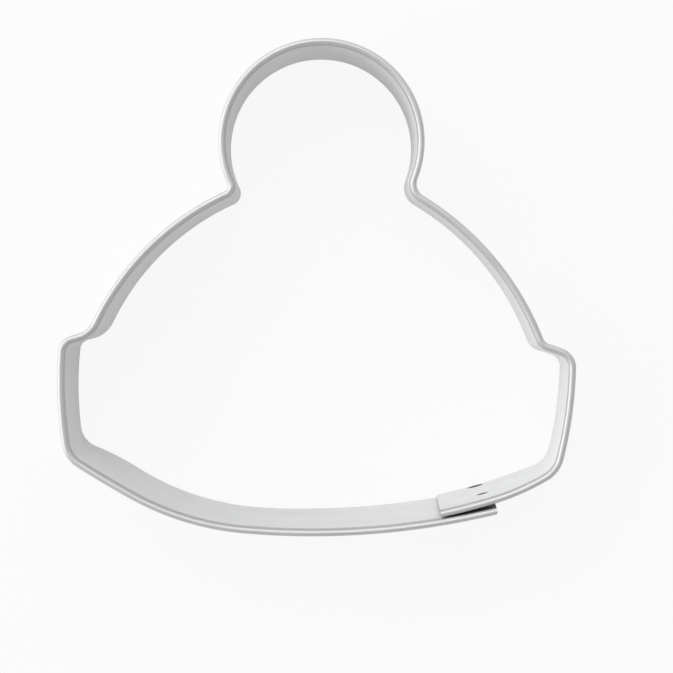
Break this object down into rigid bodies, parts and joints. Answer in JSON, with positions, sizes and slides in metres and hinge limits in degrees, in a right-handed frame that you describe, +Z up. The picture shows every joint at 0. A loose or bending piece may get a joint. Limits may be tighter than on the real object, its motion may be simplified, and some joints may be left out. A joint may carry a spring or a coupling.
{
  "type": "cookie cutter",
  "caption": "Bobble-hat cookie cutter bent from sheet steel strip and spot-welded at its lap, with a rolled rim to press on and a raw edge that cuts dough.",
  "frame": {"origin": "on the plane of the cutting edge, under the middle of the outline", "axes": "+X to the right across the brim, +Y towards the pom-pom, +Z up from the cutting edge to the rolled rim"},
  "size_m": [0.075, 0.072, 0.022],
  "materials": {
    "tinned_steel": "satin, lightly mottled tin",
    "weld_steel": "dull, darkened by the weld"
  },
  "bodies": {
    "root": {"band": "tinned_steel", "upper_stitch": "weld_steel", "lower_stitch": "weld_steel"}
  },
  "joints": []
}
